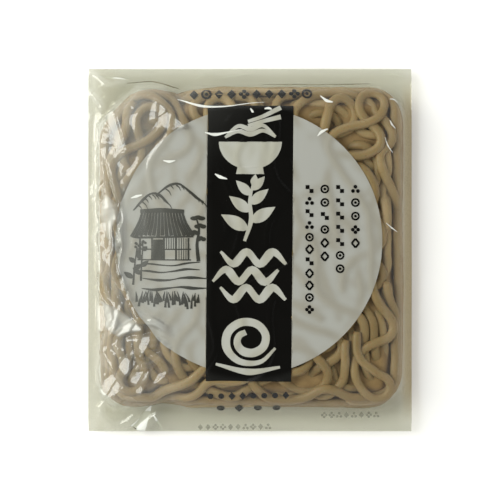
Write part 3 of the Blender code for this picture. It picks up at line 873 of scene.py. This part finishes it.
def tiltToWindow(place):
    # The slopes along x and y of film that mirrors the window in the camera
    toWindow, toEye = (np.array(facet[end]) - (*place, 12.0) for end in ("window", "eye"))
    half = toWindow / np.linalg.norm(toWindow) + toEye / np.linalg.norm(toEye)
    return -half[:2] / half[2]


def flankParts(flank):
    # A long flank goes in short parts, each with its own tilt
    line = smoothRoute(spots(*flank["route"]), 49)
    widths = np.interp(np.linspace(0, 1, 49), np.linspace(0, 1, len(flank["widths"])), flank["widths"])
    return [stroke(line[k:k + 7], widths[k:k + 7]) for k in range(0, 48, 6)]


def flatten(points, ground):
    # Lays each facet as flat pleats that just clear the noodles
    x, y = points[..., 0], points[..., 1]
    under = sample(ground, x, y)
    dents = facet["crinkle"] * softNoise(np.random.default_rng(film["seed"] + 1), 1.3)
    outlines = [part for flank in flanks for part in flankParts(flank)]
    for outline in outlines + [spread(spots(*outline), facet["spread"]) for outline in facets]:
        slope = tiltToWindow(outline.mean(0))
        climb = x * slope[0] + y * slope[1]
        pleat = np.floor(climb / np.linalg.norm(slope) / facet["pitch"])
        depth = depthInside(outline, x, y)
        share = smoothStep(depth, *facet["edge"])
        for number in np.unique(pleat[share > 0]):
            strip = (share > 0) & (pleat == number)
            level = (under - climb)[strip].max()
            points[..., 2][strip] += (share * (level + climb + dents - points[..., 2]))[strip]


def raiseCrests(points):
    # Sharp crests with straight flanks, which taper off at both ends
    for crest in crests:
        route = smoothRoute(spots(*crest["route"]))
        nearest, share, _, _, onLeft = alongRoute(route, points[..., 0], points[..., 1])
        width = np.where(onLeft > 0, crest["left"], crest["right"])
        taper = np.sin(math.pi * np.clip(share, 0.02, 0.98)) ** 0.7
        points[..., 2] += crest["height"] * np.clip(taper - nearest / width, 0, None)


def stretchFilm(top):
    draw = np.random.default_rng(film["seed"])
    margin = marginHeights(draw)
    loose = looseness(gridX, gridY)
    tent = np.interp(loose, (0, 1), (film["tent"], film["tentLoose"]))
    tent += (film["tentBottom"] - tent) * smoothStep(-gridY, 60, 64) * smoothStep(-np.abs(gridX), -42, -20)
    inside = gridDepth > -tent
    pastPrint = smoothStep(np.hypot(gridX - disc["x"], gridY - disc["y"]), disc["radius"], disc["radius"] + 5)
    dip = film["dip"] + film["dipOutside"] * pastPrint + film["dipLoose"] * loose
    lowest = frontHeight(gridX, gridY) + film["clearance"] - noodles["underFilm"] - dip
    heap = eased(np.maximum(top + film["clearance"], lowest))
    ground = np.where(gridDepth > -0.6, np.maximum(heap, margin), margin - 0.4)
    taut = tautFilm(ground, margin, inside)
    x, y = gridX[::2, ::2], gridY[::2, ::2]
    loose = looseness(x, y)
    *spare, start = spareFilm(draw, x, y, loose)
    pull = film["pull"] * (1 - 0.75 * np.clip(loose, 0, 1))
    points = letDown(np.stack((x, y, taut[::2, ::2]), -1), ground, spare, start, pull)
    points = finer(points)
    flatten(points, ground)
    raiseCrests(points)
    return points, margin


def filmHazeAndSheen():
    # The share of white in the film: a milky veil where it stands clear, and painted sheen: whiter towards the left,
    # where the light comes from, most of all along the left shoulder, over the veil panes, and as painted highlight
    # over the facets
    pastPrint = smoothStep(np.hypot(gridX - disc["x"], gridY - disc["y"]), disc["radius"], disc["radius"] + 3)
    atLeft = 0.15 * smoothStep(-gridX, 14, 50) + 0.05 * smoothStep(-gridX, 45, 56)
    topLeft = 0.07 * smoothStep(gridY - gridX, 40, 120)
    hazeAndSheen = 0.003 + 0.01 * pastPrint + (atLeft + topLeft) * (0.5 + 0.5 * smoothStep(gridDepth, -2, 2))
    for outline in sheenVeils:
        hazeAndSheen += 0.35 * smoothStep(depthInside(spots(*outline), gridX, gridY), -1.0, 1.2)
    # Painted highlight: each facet is whitened, so that it reads as catching the window
    for outline in facets:
        hazeAndSheen += facet["hazeAndSheen"] * smoothStep(depthInside(spots(*outline), gridX, gridY), -0.4, 0.5)
    return hazeAndSheen


def gridFaces(down, across, flip=False):
    i, j = np.meshgrid(np.arange(down - 1), np.arange(across - 1), indexing="ij")
    first = (i * across + j).ravel()
    quads = np.stack((first, first + 1, first + across + 1, first + across), -1)
    return (quads[:, ::-1] if flip else quads).tolist()


def makeFilm(front, margin):
    # Painted warm shade along the right margin, for the pack's shadow there and the light that the noodles throw back
    # onto it, and a trace of painted shade on the left margin, which is lit from under the film
    paintedShade = 0.36 * smoothStep(gridX, bag["right"] - 5, bag["right"] - 2) * smoothStep(-np.abs(gridY), -71, -50)
    paintedShade += 0.03 * smoothStep(-gridDepth, 0, 2) * smoothStep(-gridX, 50, 58)
    meshPiece(
        "film_front", front.reshape(-1, 3), gridFaces(rows, columns), clearFilmMaterial("clear film, front", clearFilm["tint"]),
        values={"hazeAndSheen": filmHazeAndSheen(), "paintedShade": paintedShade},
    )
    x, y = gridX[::2, ::2], gridY[::2, ::2]
    inside = smoothStep(blockDepth(x, y), -1.5, 0.5)
    back = np.maximum(0.05, backHeight(x, y)) * inside + (margin[::2, ::2] - film["gap"]) * (1 - inside)
    points = np.stack((x, y, back), -1).reshape(-1, 3)
    meshPiece(
        "film_back", points, gridFaces(*x.shape, flip=True), clearFilmMaterial("clear film, back", clearFilm["backTint"]),
        values={"hazeAndSheen": np.full(x.shape, 0.01), "paintedShade": paintedShade[::2, ::2]},
    )


# Print: fields of ink on the inside of the film, cut to their outlines and draped with it

def drapedPrint(name, outlines, surface, touch, under, material, replaced=()):
    # One mesh from outlines that may overlap, with the film's own grid points inside them, this far under the film
    facing = np.cross(np.gradient(surface, axis=1), np.gradient(surface, axis=0))
    facing /= np.linalg.norm(facing, axis=-1)[..., None]
    corners, rings = [], []
    wanted = np.zeros(gridX.shape, bool)
    for outline in outlines:
        rings.append(list(range(len(corners), len(corners) + len(outline))))
        corners += [Vector(point) for point in outline.tolist()]
        wanted |= insideOutline(outline, gridX, gridY)
    corners += [Vector(point) for point in zip(gridX[wanted].tolist(), gridY[wanted].tolist())]
    result = delaunay_2d_cdt(corners, [], rings, 0, 1e-4)
    places = np.array([tuple(point) for point in result[0]])
    middles = np.array([places[face].mean(0) for face in result[2]])
    printed = np.any([insideOutline(outline, *middles.T) for outline in outlines], axis=0)
    faces = [face for face, kept in zip(result[2], printed) if kept]
    points = [sample(surface[..., k], *places.T) - under * sample(facing[..., k], *places.T) for k in range(3)]
    return meshPiece(name, np.column_stack(points), faces, material, replaced, {"wet": sample(touch, *places.T)})


def ellipse(x, y, radiusX, radiusY, start=0, end=360, count=28):
    full = end - start == 360
    turns = np.radians(np.linspace(start, end, count, endpoint=not full))
    return np.column_stack((x + radiusX * np.cos(turns), y + radiusY * np.sin(turns)))


def leaf(x, y, length, width, degrees):
    # A pointed leaf that grows from x, y
    share = np.linspace(0, 1, 9)
    half = width / 2 * np.sin(math.pi * share ** 0.8)
    edge = np.vstack((np.column_stack((share * length, half)), np.column_stack((share * length, -half))[-2:0:-1]))
    return turned(edge, degrees) + (x, y)


def turned(points, degrees):
    c, s = math.cos(math.radians(degrees)), math.sin(math.radians(degrees))
    return np.asarray(points, float) @ np.array(((c, s), (-s, c)))


def moved(outlines, x, y, scale=1.0):
    return [np.asarray(outline, float) * scale + (x, y) for outline in outlines]


def bandOutline():
    x, y = band["width"] / 2, band["height"] / 2
    rectangle = turned([(-x, -y), (x, -y), (x, y), (-x, y)], band["tilt"]) + (band["x"], band["y"])
    return rectangle


def discOutline(side):
    # The part of the disc on one side of the band, which its tilted edge bounds
    corners = bandOutline()
    low, high = (corners[1], corners[2]) if side > 0 else (corners[0], corners[3])
    low, high = np.array((low, high)) - (disc["x"], disc["y"])
    run = high - low
    a, b, c = run @ run, 2 * low @ run, low @ low - disc["radius"] ** 2
    root = math.sqrt(b * b - 4 * a * c)
    ends = [low + run * ((-b + sign * root) / (2 * a)) for sign in (-1, 1)]
    start, end = (math.atan2(point[1], point[0]) for point in ends)
    if side < 0:
        start, end = start + 2 * math.pi if start < 0 else start, end
    turns = np.linspace(start, end, 90)
    return np.column_stack((np.cos(turns), np.sin(turns))) * disc["radius"] + (disc["x"], disc["y"])


def bowlMotif():
    bowl = ellipse(0, 1.5, 12.5, 11.0, 180, 360)
    foot = np.array(((-5, -8.5), (5, -8.5), (5.6, -11.3), (-5.6, -11.3)))
    heap = [stroke([(-10, 3.2), (-5, 5.6 + 2 * k), (0, 4.4 + 2 * k), (5, 5.8 + 2 * k), (10, 3.4)], (1.0, 2.0, 1.0)) for k in (0, 1)]
    sticks = [stroke([(-1, 7.4 + k), (5, 9.0 + 1.2 * k), (12, 10.3 + 2.3 * k)], (1.3, 1.5, 1.9), 8) for k in (0.4, 2.0)]
    return [bowl, foot, *heap, *sticks]


def sprigMotif():
    stem = stroke([(-2, -12), (0.5, -4), (0, 4), (1.5, 12)], (1.2, 1.8, 1.4, 0.8))
    leaves = []
    for k, (x, y) in enumerate(((-0.4, -7.5), (0.4, -4.5), (0.2, -0.5), (0.1, 2.5), (0.5, 6.0), (0.9, 8.0))):
        side = 1 if k % 2 else -1
        leaves.append(leaf(x, y, 12.5 - k, 5.2 - 0.35 * k, 90 - side * (62 - 4 * k)))
    return [stem, *leaves, leaf(1.3, 9.5, 5, 3, 80)]


def waveMotif():
    waves = []
    for k, y in enumerate((7.0, 0.0, -7.0)):
        shift = 1.5 * (-1) ** k
        route = [(-13 + 5.2 * i, y + 2.4 * (-1) ** (i + k)) for i in range(6)]
        waves.append(stroke([(x + shift, h) for x, h in route], (1.0, 3.4, 2.6, 3.6, 1.2), 36))
    return waves


def swirlMotif():
    turns = np.linspace(0.3, 1.95, 14)
    route = [((2.2 + 4.6 * t) * math.cos(2 * math.pi * t), (2.0 + 4.1 * t) * math.sin(2 * math.pi * t)) for t in turns]
    return [stroke(route, (2.2, 3.4, 3.0, 3.4, 1.0), 72), stroke([(-13, -9.5), (0, -12.4), (12.5, -10.5)], (1.0, 2.6, 1.0))]


def bandMotifs():
    outlines = []
    for motif, y in zip((bowlMotif, sprigMotif, waveMotif, swirlMotif), (38.5, 12.8, -12.8, -38.0)):
        outlines += moved(motif(), 0, y)
    return [turned(outline, band["tilt"]) + (band["x"], band["y"]) for outline in outlines]


drawing = {
    "ridges": [
        [(-46.5, 15.5), (-43, 19.2), (-39.5, 22.0), (-36, 21.6), (-32.6, 18.4)],
        [(-36.8, 21.9), (-32.4, 25.2), (-28.2, 26.0), (-24.2, 23.2), (-21, 20.4), (-18.4, 18.8)],
    ],
    "roofLeft": -43.0, "roofRight": -27.0, "roofTop": 14.6, "eaves": 5.2, "overhang": 4.4,
    "ground": -4.0,
    "posts": (-44.0, -39.2, -34.4, -29.6, -24.6),
    "thatch": 15, "seed": 12,
}


def hillLines(draw):
    outlines = []
    for ridge in map(np.array, drawing["ridges"]):
        outlines.append(stroke(ridge, (0.5, 1.1, 0.7, 1.2, 0.5), 30))
        for share in np.linspace(0.15, 0.95, 9):
            x = np.interp(share, np.linspace(0, 1, len(ridge)), ridge[:, 0])
            y = np.interp(share, np.linspace(0, 1, len(ridge)), ridge[:, 1])
            fall = draw.uniform(1.2, 3.0)
            route = [(x, y - 0.3), (x + 0.5 * fall, y - 0.3 - 0.4 * fall), (x + 0.8 * fall, y - 0.3 - fall)]
            outlines.append(stroke(route, (0.55, 0.4, 0.15), 8))
    return outlines


def houseLines(draw):
    left, right, top, eaves = (drawing[name] for name in ("roofLeft", "roofRight", "roofTop", "eaves"))
    out, ground = drawing["overhang"], drawing["ground"]
    outlines = [stroke([(left - 0.8, top + 0.5), ((left + right) / 2, top + 0.9), (right + 0.8, top + 0.5)], (1.5, 1.9, 1.5), 12)]
    for share in np.linspace(0, 1, drawing["thatch"]):
        x = left + (right - left) * share
        foot = left - out + (right - left + 2 * out) * share
        middle = ((x + foot) / 2 + (0.5 - share) * 1.4, (top + eaves) / 2 + 0.4)
        outlines.append(stroke([(x, top), middle, (foot, eaves + draw.uniform(-0.4, 0.4))], (0.9, 1.15, 1.5), 12))
    outlines.append(stroke([(left - out, eaves), (left, eaves - 0.4), (right + out, eaves)], (0.6, 0.9, 0.6), 12))
    for x in drawing["posts"]:
        outlines.append(stroke([(x, eaves - 0.5), (x, ground)], (0.7, 0.7), 4))
    for y in (ground, ground + 4.2):
        outlines.append(stroke([(-45, y), (-34, y + draw.uniform(-0.15, 0.15)), (-23.6, y)], (0.55, 0.45, 0.55), 10))
    outlines.append(np.array(((-38.8, ground), (-34.8, ground), (-34.8, eaves - 1.2), (-38.8, eaves - 1.2))))
    for x in np.linspace(-33.4, -30.6, 4):
        outlines.append(stroke([(x, ground + 4.2), (x, eaves - 0.6)], (0.3, 0.3), 4))
    for x in np.linspace(-28.4, -25.6, 4):
        outlines.append(stroke([(x, ground), (x, eaves - 0.6)], (0.3, 0.3), 4))
    return outlines


def fieldLines(draw):
    outlines = []
    for k, y in enumerate((-6.2, -8.8, -11.9, -15.6)):
        start = -46.5 + 1.3 * k + draw.uniform(-1, 1)
        route = [(start + 5.2 * i, y + 0.5 * math.sin(1.7 * i + k) + 0.04 * i * i) for i in range(6)]
        outlines.append(stroke(route, (0.3, 0.7 + 0.2 * k, 0.4, 0.8 + 0.2 * k, 0.3), 30))
    for x in np.linspace(-45, -20.5, 34):
        y = draw.uniform(-18.6, -16.8)
        height, lean = draw.uniform(2.2, 5.0), draw.uniform(-1.4, 1.4)
        route = [(x, y - height), (x + 0.3 * lean, y - 0.4 * height), (x + lean, y + 0.8)]
        outlines.append(stroke(route, (0.9, 0.7, 0.15), 7))
    return outlines


def plantLines(draw):
    outlines = []
    for x, y, lean in ((-46.6, -14, 1.4), (-43.6, -12.5, 0.8)):
        top = (x + lean, y + 15)
        outlines.append(stroke([(x, y), (x + 0.3 * lean, y + 7), top], (0.8, 0.6, 0.4), 12))
        for k in range(4):
            side = 1 if k % 2 else -1
            outlines.append(leaf(x + lean * 0.22 * k, y + 2.5 + 3.2 * k, 4.4 - 0.6 * k, 2.0, 90 - side * 50))
        for k in range(5):
            around = draw.uniform(-1.2, 1.2, 2)
            outlines.append(ellipse(top[0] + around[0], top[1] + 0.6 + around[1], 0.55, 0.55, count=9))
    trunk = [(-20.6, -4.5), (-21.2, 2), (-20.4, 8), (-21.4, 12.6)]
    outlines.append(stroke(trunk, (1.5, 1.2, 0.9, 0.5), 16))
    for x, y, wide in ((-20.8, 12.4, 2.9), (-19.9, 9.2, 2.3), (-22.2, 6.6, 2.2), (-19.6, 4.2, 1.9)):
        for k in range(3):
            outlines.append(ellipse(x + (k - 1) * wide * 0.5, y + 0.4 * (k == 1), wide * 0.55, 0.85, count=12))
    return outlines


def countryScene():
    # A generic drawing, in short lines: hills, a thatched house, a tree, stalks and a field
    draw = np.random.default_rng(drawing["seed"])
    return hillLines(draw) + houseLines(draw) + fieldLines(draw) + plantLines(draw)


smallMarks = {"pitch": 4.94, "size": 3.5, "seed": 9}


def mark(draw, size, kinds):
    # One of a few plain ornaments: a lozenge, four dots, three dots, two squares, a ringed dot, a full lozenge or a dot
    kind = draw.choice(kinds)
    around = np.array(((0, 0.5), (0.42, 0), (0, -0.5), (-0.42, 0))) * size
    if kind == 5:
        return [around]
    if kind == 6:
        return [ellipse(0, 0, 0.36 * size, 0.36 * size, count=16)]
    if kind == 0:
        return [stroke((a, b), (0.22 * size, 0.22 * size), 4) for a, b in zip(around, np.roll(around, 1, axis=0))]
    if kind == 1:
        return [ellipse(x * size, y * size, 0.21 * size, 0.21 * size, count=9) for x, y in ((0, 0.3), (0.3, 0), (0, -0.3), (-0.3, 0))]
    if kind == 2:
        return [ellipse(x * size, y * size, 0.22 * size, 0.22 * size, count=9) for x, y in ((0, 0.26), (0.28, -0.22), (-0.28, -0.22))]
    if kind == 3:
        square = ellipse(0, 0, 0.31 * size, 0.31 * size, 45, 315, 4)
        return moved([square], -0.22 * size, 0.22 * size) + moved([square], 0.22 * size, -0.22 * size)
    turns = np.radians(np.linspace(0, 360, 9))
    ring = np.column_stack((np.cos(turns), np.sin(turns))) * 0.4 * size
    return [stroke(ring, (0.2 * size, 0.2 * size), 18), ellipse(0, 0, 0.16 * size, 0.16 * size, count=9)]


def markRow(draw, start, end, size, pitch, kinds=(0, 1, 2, 3, 4)):
    # Marks in a line between two pixels of the photo
    a, b = spots(start, end)
    count = max(2, round(np.hypot(*(b - a)) / pitch) + 1)
    outlines = []
    for share in np.linspace(0, 1, count):
        outlines += moved(mark(draw, size, kinds), *(a + (b - a) * share))
    return outlines


def markRows():
    draw = np.random.default_rng(smallMarks["seed"])
    outlines = []
    for x, low in ((353, 247), (338, 272), (323, 260), (308, 312)):
        outlines += markRow(draw, (x, 190), (x, low - 4), smallMarks["size"], smallMarks["pitch"])
    outlines += markRow(draw, (194, 97), (306, 95.5), 4.3, 5.2, (1, 4, 5))
    outlines += markRow(draw, (210, 393), (285, 392), 3.3, 4.3, (5, 6))
    outlines += markRow(draw, (220, 408.5), (276, 408), 4.6, 7.4, (5, 6))
    return outlines


def backRows():
    # Fainter ones on the back film, which show through the bottom margin
    draw = np.random.default_rng(smallMarks["seed"] + 1)
    outlines = markRow(draw, (200, 427.5), (268, 427), 2.6, 2.9, (1, 2, 5))
    return outlines + markRow(draw, (324, 415), (376, 414.5), 2.6, 2.9, (1, 2, 5))


def makePrint(front, top, margin):
    pale = inkMaterial("pale grey ink, printed", "#bdbebe", "#adaaa3", 0.9)
    black = inkMaterial("black ink, printed", "#0c0b0a", "#0a0908", 1.0)
    white = inkMaterial("white ink, printed", "#c2c3c1", "#b6b5ad", 1.0)
    grey = inkMaterial("dark grey ink, printed", "#3d3e3c", "#353530", 1.0)
    faint = inkMaterial("grey ink, printed on the back", "#77776c", "#77776c", 0.45)
    # Painted shade: dark strips in the film's folds at the block's top edge
    creaseShadeInk = inkMaterial("film, painted crease shade", "#6d6750", "#6d6750", 0.75)
    lower, upper = 0.24, 0.12
    touch = contact(front, top)
    drapedPrint("disc_left", [discOutline(-1)], front, touch, lower, pale, ["print_disc_left"])
    drapedPrint("disc_right", [discOutline(1)], front, touch, lower, pale, ["print_disc_right"])
    drapedPrint("band", [bandOutline()], front, touch, lower, black, ["print_band"])
    drapedPrint("band_motifs", bandMotifs(), front, touch, upper, white)
    drapedPrint("country_drawing", countryScene(), front, touch, upper, grey)
    drapedPrint("small_marks", markRows(), front, touch, upper, black)
    # Painted highlights: white strokes where the film catches the light
    glintInk = inkMaterial("film, painted highlights", "#e9ebe4", "#e9ebe4", 0.8)
    lines = [stroke(spots(*fold["route"]), fold["widths"], 40) for fold in paintedGlints]
    drapedPrint("film_painted_glints", lines, front, touch, -0.05, glintInk)
    lines = [stroke(spots(*route), (0.15, 0.5, 0.35, 0.55, 0.15), 40) for route in paintedCreaseLines]
    drapedPrint("film_crease_shade", lines, front, touch, -0.05, creaseShadeInk)
    back = np.stack((gridX, gridY, margin - film["gap"]), -1)
    drapedPrint("back_marks", backRows(), back, touch, 0.06, faint)


def contact(front, top):
    # How wet the film's underside is: 1 where it rests on a noodle, 0 where it bridges a gap
    height = front[..., 2] - film["clearance"] - sample(top, front[..., 0], front[..., 1])
    return eased(eased(smoothStep(-height, -2.6, 0.0)))


# Stage: white floor, soft light from the left and a camera straight above

stage = {
    "floor": "#fdfdfb",
    "lens": 100.0, "sensor": 36.0, "picture": 500,
    "zenith": 0.02, "horizon": 0.66,     # the room's brightness straight above and at the height of the table
}
# Each light: place in mm, size in mm, strength in watts and warmth
lights = [
    {"name": "window", "place": facet["window"], "size": (560, 800), "watts": 10.3, "colour": "#fcfdf8"},
    {"name": "fill", "place": (600, -160, 520), "size": (500, 500), "watts": 1.5, "colour": "#fffdf6", "gloss": False},
]


def makeStage():
    floorMaterial, tree = newMaterial("white card, matt")
    card = node(tree, "ShaderNodeBsdfPrincipled", {"Base_Color": linear(stage["floor"]), "Roughness": 0.9})
    node(tree, "ShaderNodeOutputMaterial", Surface=card.outputs[0])
    data = bpy.data.meshes.new("floor")
    reach = 3.0
    data.from_pydata([(-reach, -reach, 0), (reach, -reach, 0), (reach, reach, 0), (-reach, reach, 0)], [], [(0, 1, 2, 3)])
    data.materials.append(floorMaterial)
    floor = bpy.data.objects.new("floor", data)
    bpy.context.scene.collection.objects.link(floor)
    makeRoom()
    for light in lights:
        lamp = bpy.data.lights.new(light["name"], "AREA")
        lamp.shape = "RECTANGLE"
        lamp.size, lamp.size_y = (side * mm for side in light["size"])
        lamp.energy = light["watts"]
        lamp.color = linear(light["colour"])[:3]
        holder = bpy.data.objects.new(light["name"], lamp)
        holder.location = Vector(light["place"]) * mm
        holder.rotation_euler = (-Vector(light["place"])).to_track_quat("-Z", "Y").to_euler()
        holder.visible_glossy = light.get("gloss", True)
        bpy.context.scene.collection.objects.link(holder)


def makeRoom():
    # A pale room, darkest straight above, so that flat film shows what lies under it
    world = bpy.data.worlds.new("pale room")
    world.use_nodes = True
    tree = world.node_tree
    tree.nodes.clear()
    way = node(tree, "ShaderNodeTexCoord").outputs["Generated"]
    height = node(tree, "ShaderNodeSeparateXYZ", Vector=way).outputs["Z"]
    glow = node(
        tree, "ShaderNodeMapRange",
        {"From_Min": 0.8, "From_Max": 0.965, "To_Min": stage["horizon"], "To_Max": stage["zenith"]}, Value=height,
    )
    sky = node(tree, "ShaderNodeBackground", {"Color": (1, 1, 1, 1)}, Strength=glow.outputs[0])
    node(tree, "ShaderNodeOutputWorld", Surface=sky.outputs[0])
    bpy.context.scene.world = world


def makeCamera():
    seen = stage["picture"] * photo["mmPerPixel"] * mm      # width of the picture at the film's margins
    camera = bpy.data.cameras.new("camera")
    camera.lens, camera.sensor_width = stage["lens"], stage["sensor"]
    holder = bpy.data.objects.new("camera", camera)
    holder.location = (0, 0, seen * stage["lens"] / stage["sensor"] + bag["sealLevel"] * mm)
    bpy.context.scene.collection.objects.link(holder)
    bpy.context.scene.camera = holder


makeStage()
makeCamera()
print("stage, lights and camera made")
laid, heapTop = layNoodles()
print(f"{len(laid)} noodles laid, {heapTop.max():.1f} mm high before the film presses them")
makeNoodles(laid, boiledSobaMaterial())
makeCore(coreMaterial())
print("noodles made")
front, margin = stretchFilm(heapTop)
makeFilm(front, margin)
print(f"film made, highest point {front[..., 2].max():.1f} mm")
makePrint(front, heapTop, margin)
print("print made")

bpy.context.scene.view_settings.view_transform = "Standard"
bpy.context.view_layer.update()
